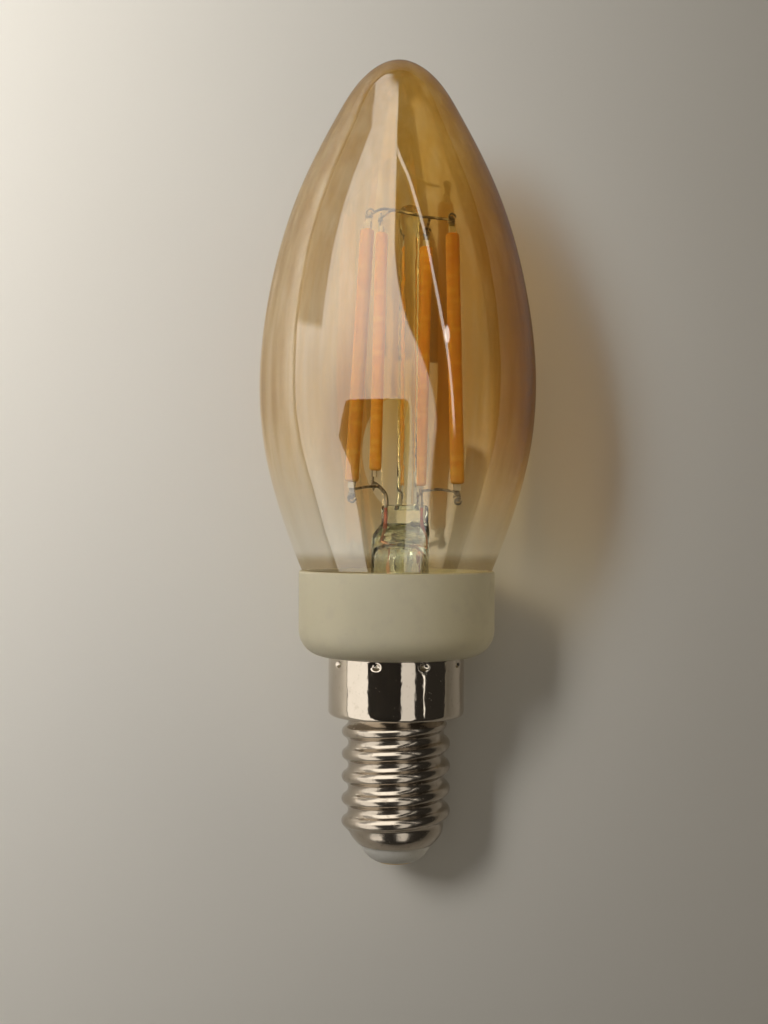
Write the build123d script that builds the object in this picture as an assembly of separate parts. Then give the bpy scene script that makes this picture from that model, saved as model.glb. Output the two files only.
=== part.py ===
from build123d import *
import math
import os

# LED filament candle lamp on an E14 screw cap, in millimetres.
# Origin at the lowest point of the centre contact, on the lamp's axis. +Z runs up the axis to the
# tip of the glass, -Y is the front, and +X is to the right.

# Heights along the axis
shell_rim_z = 2.6
skirt_step_z = 18.8
skirt_top_z = 26.3
collar_top_z = 37.05
neck_end_z = 31.4
press_top_z = 45.4
post_top_z = 81.4

# Screw cap: nickel-plated sheet with a rolled Edison thread and a plain skirt
sheet = 0.3
skirt_radius = 8.6
root_radius = 6.05
crest_height = 0.82
thread_pitch = 2.822
thread_first_z = 4.6
thread_turns = 4.1
thread_start_angle = 75.0
rim_radius = 4.75
punch_count = 9
punch_depth = 0.15
punch_ball = 1.0
punch_z = 25.7
punch_first_angle = -107.4

# Contact end
insulator_top_z = 6.2
contact_radius = 2.3
contact_low_z = 0.3
contact_high_z = 0.85
rivet_radius = 1.1
rivet_bore = 0.7
solder_radius = 1.2

# Plastic collar
collar_radius = 12.4
collar_wall = 0.9
collar_shoulder = 3.3
spigot_end_z = 20.6
spigot_wall = 0.9
groove_width = 0.8
groove_depth = 0.6

# Glass bulb: wall, and the outside outline as radius and height, from the neck up to the tip
glass_wall = 0.8
neck_outline = [(9.8, neck_end_z), (10.5, 34.0), (12.0, 37.0)]
bulb_outline = [(12.0, 37.0), (14.95, 45.0), (16.75, 52.0), (17.5, 61.0), (16.35, 72.0),
                (13.05, 84.0), (7.75, 95.0), (4.0, 100.2), (0.0, 102.0)]
neck_slope = (0.39, 0, 0.92)

# Stem: flare, tube and flattened press of one glass, a little off the axis as it was sealed
tube_offset = 0.4
tube_radius = 3.65
tube_wall = 0.6
tube_top_z = 41.2
flare_radius = 8.9
press_offset = 1.0
press_width = 6.0
press_depth = 2.6
press_start_z = 43.0
post_radius = 1.25
post_foot_z = 44.6
post_foot_x = 1.2
post_head_x = 1.4
button_radius = 1.6
exhaust_x = 0.9
exhaust_radius = 1.1
exhaust_bore = 0.7
exhaust_end_z = 30.8

# Wires
lead_wire = 0.5
dumet_wire = 0.4
copper_wire = 0.4
cross_wire = 0.35
fuse_wire = 0.5
lead_left_x = -1.3
lead_right_x = 3.0
dumet_low_z = 41.9
dumet_high_z = 45.0

# Filaments: luminous length, section of the phosphor, and where each one's luminous part ends
glow_length = 31.5
coat_width = 1.7
coat_depth = 1.5
coat_corner = 0.65
substrate_width = 0.8
substrate_depth = 0.4
substrate_overrun = 0.8
tab_width = 0.9
tab_depth = 0.2
tab_length = 2.2
tab_lap = 0.5
chip_count = 26
chip_pitch = 1.15
chip_size = (0.45, 0.15, 0.75)
filaments = {
    "right_front": ((7.5, -3.0, 48.0), (6.8, -2.6, 79.5), 15),
    "right_rear": ((3.0, 6.2, 48.0), (3.6, 5.6, 79.5), 10),
    "left_rear": ((-2.85, 6.2, 50.0), (-2.35, 5.6, 81.5), 75),
    "left_front": ((-5.7, -4.4, 48.2), (-4.0, -3.8, 79.7), -20),
}

# Driver board, standing upright in the cap
board_thickness = 0.8
board_width = 13.6
board_low_z = 20.0
board_top_z = 29.0
tongue_width = 8.6
tongue_low_z = 8.5
capacitor_radius = 2.5
capacitor_length = 7.5
choke_radius = 2.3
choke_length = 5.6
choke_waist = 1.1
fuse_radius = 1.2
fuse_length = 5.6
fuse_y = -1.75
fuse_low_z = 11.0


def turned(edges):
    """Solid of revolution about the lamp's axis from the edges of a half outline."""
    return revolve(make_face(edges), Axis.Z, 360)


def outline(points):
    """Straight edges through points given as radius and height, closed."""
    return Polyline(*[(r, 0, z) for r, z in points], close=True).edges()


def rod(start, end, radius):
    """Straight round rod between two points."""
    direction = Vector(*end) - Vector(*start)
    return Solid.make_cylinder(radius, direction.length, Plane(origin=start, z_dir=direction))


def wire_path(points):
    """Straight runs joined by tangent arcs, each as large as its two runs allow."""
    corners = [Vector(*p) for p in points]
    radii = []
    for before, here, after in zip(corners, corners[1:], corners[2:]):
        into = here - before
        out = after - here
        half_turn = math.radians(into.get_angle(out)) / 2
        radii.append(0.45 * min(into.length, out.length) / math.tan(half_turn))
    return FilletPolyline(*corners, radius=radii)


def wire(points, diameter):
    """Round wire bent along a list of points."""
    if len(points) == 2:
        return rod(points[0], points[1], diameter / 2)
    path = wire_path(points)
    section = Plane(origin=path @ 0, z_dir=path % 0) * Circle(diameter / 2)
    return sweep(section, path=path)


def longest_piece(shape):
    """The piece that is kept when a wire's end is cut through."""
    return shape.solids().sort_by(SortBy.VOLUME)[-1]


def block(centre, size):
    """Plain rectangular block."""
    return Pos(*centre) * Box(*size)


# ---- glass ---------------------------------------------------------------------------------------

def bulb_curves():
    """Outside curves of the bulb: the neck inside the collar, then the candle shape."""
    neck = Spline(*[(r, 0, z) for r, z in neck_outline], tangents=[(0.15, 0, 1), neck_slope])
    flame = Spline(*[(r, 0, z) for r, z in bulb_outline], tangents=[neck_slope, (-1, 0, 0)])
    return neck, flame


def inside_curve(curve, steps):
    """The same curve moved in by the glass's wall."""
    points = []
    for i in range(steps + 1):
        along = curve % (i / steps)
        points.append(curve @ (i / steps) + Vector(-along.Z, 0, along.X) * glass_wall)
    return Spline(*points, tangents=[curve % 0, curve % 1])


def glass_bulb():
    neck, flame = bulb_curves()
    inner_neck = inside_curve(neck, 4)
    inner_flame = inside_curve(flame, 12)
    lip = Line(inner_neck @ 0, neck @ 0)
    tip = Line(flame @ 1, inner_flame @ 1)
    return turned([lip, neck, flame, tip, inner_flame, inner_neck])


def filled_bulb():
    """The bulb as one solid lump, for cutting the parts that fit round it."""
    neck, flame = bulb_curves()
    floor = Line((0, 0, neck_end_z), neck @ 0)
    axis = Line(flame @ 1, (0, 0, neck_end_z))
    return turned([floor, neck, flame, axis])


def flare_cone():
    upper = Spline((flare_radius, 0, 32.1), (5.6, 0, 33.3), (tube_radius + 0.2, 0, 36.0),
                   tangents=[(-1, 0, 0.1), (-0.1, 0, 1)])
    lower = Spline((flare_radius, 0, 31.5), (5.0, 0, 32.8), (tube_radius - 0.4, 0, 36.0),
                   tangents=[(-1, 0, 0.1), (-0.1, 0, 1)])
    return turned([upper, lower, Line(upper @ 0, lower @ 0), Line(upper @ 1, lower @ 1)])


def stem_solid():
    """Flare, tube and pinched press, before the wires, the post and the exhaust tube go in."""
    tube_low_z = 34.9
    tube = Pos(tube_offset, 0, (tube_low_z + tube_top_z) / 2) * Cylinder(tube_radius, tube_top_z - tube_low_z)
    round_end = Pos(tube_offset, 0, tube_top_z) * Circle(tube_radius)
    flat_end = Pos(press_offset, 0, press_start_z) * Ellipse(press_width / 2, press_depth / 2)
    shoulder = loft([round_end, flat_end])
    press = extrude(flat_end, press_top_z - press_start_z)
    bore_radius = tube_radius - tube_wall
    bore = Pos(tube_offset, 0, (30 + tube_top_z) / 2) * Cylinder(bore_radius, tube_top_z - 30)
    bore_end = Pos(tube_offset, 0, tube_top_z) * scale(Sphere(bore_radius), (1, 1, 0.25))
    return flare_cone() + tube + shoulder + press - bore - bore_end


def glass_post():
    """Solid rod up the middle, melted into a button round the top wires."""
    foot = (post_foot_x, 0, post_foot_z)
    head = (post_head_x, 0, post_top_z)
    button = Pos(post_head_x, 0, post_top_z + 0.6) * scale(Sphere(button_radius), (0.95, 0.95, 1.0))
    return rod(foot, head, post_radius) + button


def exhaust_tube():
    """Thin tube the gas went in through, melted shut at its lower end."""
    top_z = tube_top_z - 0.4
    outer = rod((exhaust_x, 0, exhaust_end_z + exhaust_radius), (exhaust_x, 0, top_z), exhaust_radius)
    tip = Pos(exhaust_x, 0, exhaust_end_z + exhaust_radius) * Sphere(exhaust_radius)
    bore = rod((exhaust_x, 0, exhaust_end_z + 1.6), (exhaust_x, 0, top_z), exhaust_bore)
    return outer + tip - bore


# ---- wires inside the glass ----------------------------------------------------------------------

inner_lead_left = [(lead_left_x, 0, dumet_high_z), (-1.35, 0.2, 46.6), (-2.0, 1.7, 47.5),
                   (-2.8, 6.1, 48.3)]
inner_lead_right = [(lead_right_x, 0, dumet_high_z), (lead_right_x, 0.2, 46.7), (3.05, 1.9, 47.4),
                    (3.0, 6.1, 47.0)]
outer_lead_left = [(lead_left_x, 0, dumet_low_z), (-1.0, 0.1, 38.5), (-1.3, 0.3, 34.5),
                   (-3.0, 0.5, 31.2), (-3.6, 0.6, 27.6)]
outer_lead_right = [(lead_right_x, 0, dumet_low_z), (2.9, 0.1, 38.0), (3.0, 0.3, 34.0),
                    (3.4, 0.5, 31.0), (3.6, 0.6, 27.6)]
cross_left = [(-2.3, 3.5, 47.85), (-4.0, -0.4, 47.7), (-5.75, -4.4, 47.2)]
cross_right = [(3.02, 3.6, 47.25), (5.2, 0.6, 47.5), (7.52, -3.0, 47.0)]
top_bridge = [(6.77, -2.55, 81.2), (4.2, -0.6, 81.9), (1.4, 0.1, 82.3), (-0.7, 0.9, 83.3),
              (-2.33, 5.55, 83.1)]
top_cross_right = [(4.0, -0.5, 81.95), (3.9, 2.6, 82.0), (3.62, 5.55, 81.2)]
top_cross_left = [(-0.6, 0.8, 83.2), (-2.3, -1.6, 82.8), (-3.92, -3.75, 81.3)]


# ---- filaments -----------------------------------------------------------------------------------

def filament_plane(name):
    """Frame at the lower end of a filament's luminous part: Z up it, Y through its thickness."""
    low, high, turn = filaments[name]
    direction = Vector(*high) - Vector(*low)
    return Plane(origin=low, x_dir=(1, 0, 0), z_dir=direction).rotated((0, 0, turn))


def filament_substrate():
    length = glow_length + 2 * substrate_overrun
    return block((0, 0, glow_length / 2), (substrate_width, substrate_depth, length))


def filament_tabs():
    """Metal end strips, lapped on the substrate's ends."""
    y = (substrate_depth + tab_depth) / 2
    length = tab_length + tab_lap
    low = block((0, y, length / 2 - tab_length), (tab_width, tab_depth, length))
    high = block((0, y, glow_length + tab_length - length / 2), (tab_width, tab_depth, length))
    return low, high


def filament_chips():
    """Row of light-emitting dies along the substrate's front."""
    y = -(substrate_depth + chip_size[1]) / 2
    first = (glow_length - (chip_count - 1) * chip_pitch) / 2
    return [block((0, y, first + i * chip_pitch), chip_size) for i in range(chip_count)]


def filament_coat(inner_parts):
    """Phosphor silicone moulded round the substrate, the dies and the tabs' ends."""
    bar = extrude(RectangleRounded(coat_width, coat_depth, coat_corner), glow_length)
    ends = bar.edges().group_by(Axis.Z)[0] + bar.edges().group_by(Axis.Z)[-1]
    return fillet(ends, 0.45) - inner_parts


# ---- collar and cement ---------------------------------------------------------------------------

def collar():
    """Moulded ring that joins the bulb's neck to the screw cap."""
    inside = collar_radius - collar_wall
    spigot_outer = skirt_radius - sheet
    spigot_inner = spigot_outer - spigot_wall
    outer = FilletPolyline((collar_radius, 0, collar_top_z), (collar_radius, 0, skirt_top_z),
                           (spigot_outer, 0, skirt_top_z), radius=collar_shoulder)
    rest = Polyline((spigot_outer, 0, skirt_top_z), (spigot_outer, 0, spigot_end_z),
                    (spigot_inner, 0, spigot_end_z), (spigot_inner, 0, 26.6), (8.6, 0, 27.3),
                    (10.6, 0, 28.6), (inside, 0, 30.2), (inside, 0, collar_top_z),
                    (collar_radius, 0, collar_top_z))
    ring = turned([outer, rest])
    lip = ring.edges().filter_by(GeomType.CIRCLE).group_by(Axis.Z)[-1].sort_by(SortBy.RADIUS)[-1]
    ring = fillet(lip, 0.25)
    groove_height = skirt_top_z - 1.5 - spigot_end_z
    groove = block((-spigot_outer, 0, spigot_end_z + groove_height / 2),
                   (2 * groove_depth, groove_width, groove_height))
    return ring - filled_bulb() - groove


def cement():
    """Silicone between the bulb's neck and the collar."""
    inside = collar_radius - collar_wall
    ring = turned(outline([(9.0, 32.0), (inside, 32.0), (inside, 36.0), (9.0, 36.0)]))
    return ring - filled_bulb()


# ---- screw cap -----------------------------------------------------------------------------------

def cap_sheet():
    """Drawn sheet: skirt, step, thread's root and turned-in rim."""
    outer = FilletPolyline((skirt_radius, 0, skirt_top_z), (skirt_radius, 0, skirt_step_z),
                           (root_radius, 0, skirt_step_z), (root_radius, 0, 4.9), radius=[1.0, 0.5])
    inner = FilletPolyline((skirt_radius - sheet, 0, skirt_top_z),
                           (skirt_radius - sheet, 0, skirt_step_z + sheet),
                           (root_radius - sheet, 0, skirt_step_z + sheet),
                           (root_radius - sheet, 0, 4.9), radius=[0.7, 0.8])
    rim_outer = ThreePointArc((root_radius, 0, 4.9), (5.62, 0, 3.6), (rim_radius, 0, shell_rim_z))
    rim_inner = ThreePointArc((root_radius - sheet, 0, 4.9), (5.36, 0, 3.74), (4.54, 0, 2.82))
    top = Line(outer @ 0, inner @ 0)
    edge = Line(rim_outer @ 1, rim_inner @ 1)
    return turned([outer, rim_outer, edge, rim_inner, inner, top])


def cap_shell():
    """Screw cap with its thread, its ends run out, and the punch marks that grip the collar."""
    height = thread_turns * thread_pitch
    helix = Helix(thread_pitch, height, root_radius, center=(0, 0, thread_first_z))
    section = Plane(origin=helix @ 0, z_dir=helix % 0) * Circle(crest_height)
    ridge = sweep(section, path=helix, is_frenet=True)
    ends = [Pos(*(helix @ t)) * Sphere(crest_height) for t in (0, 1)]
    bore_top_z = skirt_step_z + sheet
    bore = Pos(0, 0, bore_top_z / 2) * Cylinder(root_radius - sheet, bore_top_z)
    thread = Rot(0, 0, thread_start_angle) * (ridge + ends) - bore
    shell = cap_sheet() + thread
    centre_radius = skirt_radius + punch_ball - punch_depth
    for i in range(punch_count):
        angle = math.radians(punch_first_angle + i * 360 / punch_count)
        place = Pos(centre_radius * math.cos(angle), centre_radius * math.sin(angle), punch_z)
        shell -= place * Sphere(punch_ball)
    return shell


def insulator():
    """White plug in the cap's end, domed outside, that carries the centre contact."""
    side = Line((root_radius - sheet, 0, insulator_top_z), (root_radius - sheet, 0, 4.9))
    turn_in = ThreePointArc((root_radius - sheet, 0, 4.9), (5.36, 0, 3.74), (4.54, 0, 2.82))
    dome = ThreePointArc((4.54, 0, 2.82), (3.85, 0, 1.45), (2.7, 0, 0.55))
    seat = Polyline((2.7, 0, 0.55), (contact_radius, 0, 0.55), (contact_radius, 0, contact_high_z),
                    (rivet_radius, 0, contact_high_z), (rivet_radius, 0, insulator_top_z),
                    (root_radius - sheet, 0, insulator_top_z))
    return turned([side, turn_in, dome, seat])


def centre_contact():
    """Brass disc with a hollow rivet shank through the insulator."""
    points = [(rivet_bore, contact_low_z), (contact_radius - 0.2, contact_low_z),
              (contact_radius, contact_low_z + 0.2), (contact_radius, contact_high_z),
              (rivet_radius, contact_high_z), (rivet_radius, insulator_top_z),
              (rivet_bore, insulator_top_z)]
    return turned(outline(points))


def contact_solder():
    """Solder that closes the rivet round the live wire, domed outside."""
    ball = (solder_radius**2 + contact_low_z**2) / (2 * contact_low_z)
    middle = solder_radius / 2
    middle_z = ball - math.sqrt(ball**2 - middle**2)
    dome = ThreePointArc((0, 0, 0), (middle, 0, middle_z), (solder_radius, 0, contact_low_z))
    rest = Polyline((solder_radius, 0, contact_low_z), (rivet_bore, 0, contact_low_z),
                    (rivet_bore, 0, 2.2), (0, 0, 2.2), (0, 0, 0))
    return turned([dome, rest])


# ---- driver --------------------------------------------------------------------------------------

def driver_board():
    upper = block((0, 0, (board_low_z + board_top_z) / 2),
                  (board_width, board_thickness, board_top_z - board_low_z))
    tongue = block((0, 0, (tongue_low_z + board_low_z) / 2),
                   (tongue_width, board_thickness, board_low_z - tongue_low_z))
    return upper + tongue


def capacitor():
    """Aluminium can with a crimped waist near its foot."""
    place = Pos(2.9, -(board_thickness / 2 + 0.15 + capacitor_radius), 20.9 + capacitor_length / 2)
    can = fillet(Cylinder(capacitor_radius, capacitor_length).edges(), 0.3)
    waist = Pos(0, 0, 1.2 - capacitor_length / 2) * Torus(capacitor_radius + 0.25, 0.45)
    return place * (can - waist)


def choke_place():
    return Pos(-2.9, -(board_thickness / 2 + 0.2 + choke_radius), 24.3)


def choke_core():
    """Ferrite drum."""
    flange = Cylinder(choke_radius, 0.8)
    offset_z = (choke_length - 0.8) / 2
    drum = Cylinder(choke_waist, choke_length) + Pos(0, 0, offset_z) * flange + Pos(0, 0, -offset_z) * flange
    return choke_place() * drum


def choke_winding():
    """Enamelled copper wound between the drum's flanges."""
    length = choke_length - 1.6
    return choke_place() * (Cylinder(choke_radius - 0.2, length) - Cylinder(choke_waist, length))


def chip_package(centre_x, centre_z, size, lead_count):
    """Moulded package on the board's rear face and its two rows of leads."""
    face_y = board_thickness / 2
    body = block((centre_x, face_y + 0.1 + size[1] / 2, centre_z), size)
    body = chamfer(body.edges().group_by(Axis.Y)[-1], 0.15)
    leads = []
    for side in (-1, 1):
        for i in range(lead_count):
            z = centre_z + (i - (lead_count - 1) / 2) * 1.27 * (1 if lead_count > 2 else 2)
            x = centre_x + side * (size[0] / 2 + 0.35)
            leads.append(block((x, face_y + 0.3, z), (0.7, 0.6, 0.42)))
    return body, leads


def small_resistors():
    """Surface-mount resistors on the board's tongue."""
    face_y = board_thickness / 2 + 0.25
    return [block((x, face_y, z), (2.0, 0.5, 1.25)) for x in (-2.4, 2.4) for z in (11.0, 13.5, 16.0)]


def fuse_resistor():
    """Fusible resistor in the live lead, with swollen ends."""
    body = rod((0, fuse_y, fuse_low_z), (0, fuse_y, fuse_low_z + fuse_length), fuse_radius - 0.15)
    for z in (fuse_low_z + 0.8, fuse_low_z + fuse_length - 0.8):
        body += fillet((Pos(0, fuse_y, z) * Cylinder(fuse_radius, 1.6)).edges(), 0.3)
    return body


fuse_top = fuse_low_z + fuse_length
live_lead = [(0, fuse_y, fuse_low_z), (0, fuse_y, 8.8), (0, -0.5, 7.3), (0, 0, 5.2), (0, 0, 2.2)]
fuse_lead = [(0, fuse_y, fuse_top), (0, fuse_y, fuse_top + 1.2), (0, -0.4, fuse_top + 2.0)]
sleeve_route = [(0, fuse_y, fuse_low_z - 0.1), (0, fuse_y, 8.8), (0, -0.5, 7.3)]
neutral_lead = [(-8.02, 0, 24.4), (-8.02, 0, 20.0), (-6.2, -1.3, 19.5), (-3.4, -0.65, 18.0)]


def solder_joints(leads):
    """Domed joints where the leads meet the board."""
    spots = [(-3.6, 0.4, 27.9), (3.6, 0.4, 27.9), (0, -0.4, fuse_top + 2.0), (-3.4, -0.4, 18.1)]
    half_space = block((0, 0, 23), (20, board_thickness, 20))
    joints = []
    for spot, lead in zip(spots, leads):
        joints.append(Pos(*spot) * Sphere(0.75) - half_space - lead)
    return joints


# ---- assembly ------------------------------------------------------------------------------------

def stem_parts():
    """Stem, post and every wire that is sealed in them, cut so that each fills its own hole."""
    post = glass_post()
    exhaust = exhaust_tube()
    bridge = wire(top_bridge, cross_wire)
    cross_r = wire(top_cross_right, cross_wire) - bridge
    cross_l = wire(top_cross_left, cross_wire) - bridge - post
    dumets = [rod((x, 0, dumet_low_z), (x, 0, dumet_high_z), dumet_wire / 2)
              for x in (lead_left_x, lead_right_x)]
    inner = [wire(route, lead_wire) for route in (inner_lead_left, inner_lead_right)]
    outer = [wire(route, copper_wire) for route in (outer_lead_left, outer_lead_right)]
    stem = stem_solid() - post - exhaust - dumets - inner - outer
    nodes = {
        "stem_flare": stem,
        "glass_post": post - bridge,
        "exhaust_tube": exhaust,
        "top_bridge_wire": bridge,
        "top_cross_wire_right": cross_r,
        "top_cross_wire_left": cross_l,
        "dumet_seal_left": dumets[0],
        "dumet_seal_right": dumets[1],
        "inner_lead_left": inner[0],
        "inner_lead_right": inner[1],
        "outer_lead_left": outer[0],
        "outer_lead_right": outer[1],
        "bottom_cross_wire_left": wire(cross_left, cross_wire) - inner[0],
        "bottom_cross_wire_right": wire(cross_right, cross_wire) - inner[1],
    }
    return nodes


def filament_parts():
    """The four filaments, each as its substrate, dies, end tabs and phosphor."""
    nodes = {}
    tabs = filament_tabs()
    chips = filament_chips()
    substrate = filament_substrate()
    coat = filament_coat([substrate, *tabs, *chips])
    for name in filaments:
        place = filament_plane(name).location
        nodes["filament_substrate_" + name] = place * substrate
        nodes["filament_chips_" + name] = Compound(children=[place * chip for chip in chips])
        nodes["filament_tabs_" + name] = Compound(children=[place * tab for tab in tabs])
        nodes["filament_phosphor_" + name] = place * coat
    return nodes


def trimmed_wires(nodes):
    """Cut the wires back where they meet the filaments' tabs."""
    tabs = [nodes["filament_tabs_" + name] for name in filaments]
    for name in nodes:
        if "cross_wire" in name or "bridge_wire" in name or "inner_lead" in name:
            nodes[name] = longest_piece(nodes[name] - tabs)
    return nodes


def driver_parts(lamp_leads):
    leads = {
        "live_lead": wire(live_lead, fuse_wire),
        "fuse_lead": wire(fuse_lead, fuse_wire) - driver_board(),
        "neutral_lead": wire(neutral_lead, fuse_wire),
    }
    rectifier, rectifier_leads = chip_package(-3.3, 23.4, (3.6, 1.5, 4.6), 2)
    driver_chip, driver_leads = chip_package(3.2, 23.4, (3.9, 1.5, 4.9), 4)
    nodes = {
        "driver_board": driver_board(),
        "smoothing_capacitor": capacitor(),
        "choke_core": choke_core(),
        "choke_winding": choke_winding(),
        "bridge_rectifier": rectifier,
        "rectifier_leads": Compound(children=rectifier_leads),
        "driver_chip": driver_chip,
        "driver_chip_leads": Compound(children=driver_leads),
        "sense_resistors": Compound(children=small_resistors()),
        "fuse_resistor": fuse_resistor(),
        "live_lead_sleeve": wire(sleeve_route, 1.2) - leads["live_lead"],
    }
    nodes.update(leads)
    joints = solder_joints([*lamp_leads, leads["fuse_lead"], leads["neutral_lead"]])
    nodes["solder_joints"] = Compound(children=joints)
    return nodes


def cap_parts():
    return {
        "cap_shell": cap_shell(),
        "cap_insulator": insulator(),
        "centre_contact": centre_contact(),
        "contact_solder": contact_solder(),
    }


nodes = {"glass_bulb": glass_bulb(), "collar": collar(), "neck_cement": cement()}
nodes.update(stem_parts())
nodes.update(filament_parts())
nodes = trimmed_wires(nodes)
nodes.update(cap_parts())
nodes.update(driver_parts([nodes["outer_lead_left"], nodes["outer_lead_right"]]))

os.makedirs("parts", exist_ok=True)
for name, shape in nodes.items():
    export_step(shape, "parts/" + name + ".step")
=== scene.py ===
import bpy
import bmesh
import math
import numpy as np
from mathutils import Matrix, Vector, geometry, noise


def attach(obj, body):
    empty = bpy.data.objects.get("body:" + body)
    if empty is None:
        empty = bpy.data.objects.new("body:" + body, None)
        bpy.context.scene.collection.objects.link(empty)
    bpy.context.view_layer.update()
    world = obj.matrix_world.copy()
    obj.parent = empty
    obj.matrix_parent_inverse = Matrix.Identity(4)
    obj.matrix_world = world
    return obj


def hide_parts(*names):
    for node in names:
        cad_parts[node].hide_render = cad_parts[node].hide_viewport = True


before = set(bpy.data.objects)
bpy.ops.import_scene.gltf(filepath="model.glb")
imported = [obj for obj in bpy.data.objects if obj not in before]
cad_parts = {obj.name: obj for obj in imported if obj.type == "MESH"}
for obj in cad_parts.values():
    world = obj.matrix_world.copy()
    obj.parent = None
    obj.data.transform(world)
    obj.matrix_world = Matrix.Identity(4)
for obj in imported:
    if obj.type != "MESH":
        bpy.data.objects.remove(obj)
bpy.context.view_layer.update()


# ---- stem glass ----------------------------------------------------------------------------------
# The stem is clear soda glass: a flare that closes the bulb's neck, a tube, and a flattened press
# in which the wires are sealed. It was shaped hot, so its surface is a little wavy.

millimetre = 0.001


class Shade:
    """One socket of a finish, with the sums that its masks and patterns are made of."""

    def __init__(self, finish, socket):
        self.finish = finish
        self.socket = socket

    def sum(self, operation, *values):
        return self.finish.node("Math", {"operation": operation}, dict(enumerate(values)))

    def __add__(self, other):
        return self.sum("ADD", self, other)

    __radd__ = __add__

    def __sub__(self, other):
        return self.sum("SUBTRACT", self, other)

    def __rsub__(self, other):
        return self.sum("SUBTRACT", other, self)

    def __mul__(self, other):
        return self.sum("MULTIPLY", self, other)

    __rmul__ = __mul__

    def __pow__(self, other):
        return self.sum("POWER", self, other)

    def between(self, low, high):
        """0 below low, 1 above high, and smooth from one to the other."""
        if low > high:
            return 1 - self.between(high, low)
        values = {"Value": self, "From Min": low, "From Max": high}
        return self.finish.node("MapRange", {"interpolation_type": "SMOOTHSTEP"}, values)


class Finish:
    """A material, or another owner of nodes, as it is mixed: its main shader and its output."""

    def __init__(self, name, plain=None, owner=None):
        self.material = owner or bpy.data.materials.new(name)
        self.material.use_nodes = True
        self.tree = self.material.node_tree
        self.shader = self.tree.nodes.get("Principled BSDF")
        self.output = next(node for node in self.tree.nodes if node.type.startswith("OUTPUT"))
        for socket, value in (plain or {}).items():
            self.shader.inputs[socket].default_value = value

    def node(self, kind, settings=None, values=None, output=0):
        """Adds a node: its settings first, then the values or links of its sockets."""
        made = self.tree.nodes.new("ShaderNode" + kind)
        for key, value in (settings or {}).items():
            setattr(made, key, value)
        for key, value in (values or {}).items():
            if isinstance(value, Shade):
                self.tree.links.new(value.socket, made.inputs[key])
            else:
                made.inputs[key].default_value = value
        return Shade(self, made.outputs[output])

    def place(self, stretch=(1, 1, 1), shift=(0, 0, 0)):
        """Where a point is on the lamp, in millimetres, stretched and shifted."""
        spot = self.node("TexCoord", output="Object")
        scale = tuple(s / millimetre for s in stretch)
        return self.node("Mapping", values={"Vector": spot, "Scale": scale, "Location": shift})

    def along(self, axis):
        """How far along the lamp's X, Y or Z axis a point is, in millimetres."""
        return self.node("SeparateXYZ", values={0: self.place()}, output="XYZ".index(axis))

    def cloud(self, scale, detail=3.0, stretch=(1, 1, 1), shift=(0, 0, 0)):
        """Soft noise with patches of about 1 / scale millimetres."""
        values = {"Vector": self.place(stretch, shift), "Scale": scale, "Detail": detail}
        return self.node("TexNoise", values=values)

    def cells(self, scale, stretch=(1, 1, 1)):
        """Distance from scattered points about 1 / scale millimetres apart."""
        return self.node("TexVoronoi", values={"Vector": self.place(stretch), "Scale": scale})

    def colours(self, mask, low, high):
        """One colour where the mask is 0 and another where it is 1."""
        values = {0: mask}
        for key, colour in ((6, low), (7, high)):
            values[key] = colour if isinstance(colour, Shade) else (*colour, 1)
        return self.node("Mix", {"data_type": "RGBA"}, values, output=2)

    def relief(self, height, depth):
        """A bump as deep as this many millimetres where the height is 1."""
        return self.node("Bump", values={"Height": height, "Distance": depth * millimetre})

    def feed(self, **sockets):
        """Links the main shader's sockets, named with _ for a space."""
        for name, value in sockets.items():
            self.tree.links.new(value.socket, self.shader.inputs[name.replace("_", " ")])
        return self.material

    def clear(self, tint):
        """A shader that shows what is behind it through a tint."""
        return self.node("BsdfTransparent", values={"Color": (*tint, 1)})

    def blend(self, factor, first, second):
        """One shader where the factor is 0 and another where it is 1."""
        return self.node("MixShader", values={0: factor, 1: first, 2: second})

    def show(self, surface):
        """Ends the finish in this shader, and drops the main one if nothing else uses it."""
        if self.shader and all(link.to_node == self.output for link in self.shader.outputs[0].links):
            self.tree.nodes.remove(self.shader)
        self.tree.links.new(surface.socket, self.output.inputs["Surface"])
        return self.material


def as_object(name, shape, finish):
    """Turns a shape modelled in millimetres into an object with one finish."""
    bmesh.ops.scale(shape, vec=(millimetre,) * 3, verts=shape.verts[:])
    mesh = bpy.data.meshes.new(name)
    shape.to_mesh(mesh)
    shape.free()
    mesh.materials.append(finish)
    piece = bpy.data.objects.new(name, mesh)
    bpy.context.scene.collection.objects.link(piece)
    return piece


def set_in_place(name, shape, finish, slot, *nodes, sharp=0.7):
    """Makes a shape a smooth piece of the lamp, which stands for these nodes."""
    piece = as_object(name, shape, finish)
    mesh = piece.data
    mesh.polygons.foreach_set("use_smooth", [True] * len(mesh.polygons))
    mesh.set_sharp_from_angle(angle=sharp)
    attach(piece, "root")
    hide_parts(*nodes)
    return piece


def lofted(rings, sides=64):
    """A skin over rings given as (centre, half width, half depth), closed at both ends."""
    shape = bmesh.new()
    loops = []
    for centre, wide, deep in rings:
        ring = bmesh.ops.create_circle(shape, segments=sides, radius=1)["verts"]
        bmesh.ops.scale(shape, vec=(wide, deep, 1), verts=ring)
        bmesh.ops.translate(shape, vec=centre, verts=ring)
        loops.append({edge for vert in ring for edge in vert.link_edges})
    for low, high in zip(loops, loops[1:]):
        bmesh.ops.bridge_loops(shape, edges=list(low | high))
    bmesh.ops.contextual_create(shape, geom=list(loops[0]))
    bmesh.ops.contextual_create(shape, geom=list(loops[-1]))
    bmesh.ops.recalc_face_normals(shape, faces=shape.faces[:])
    return shape


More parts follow.
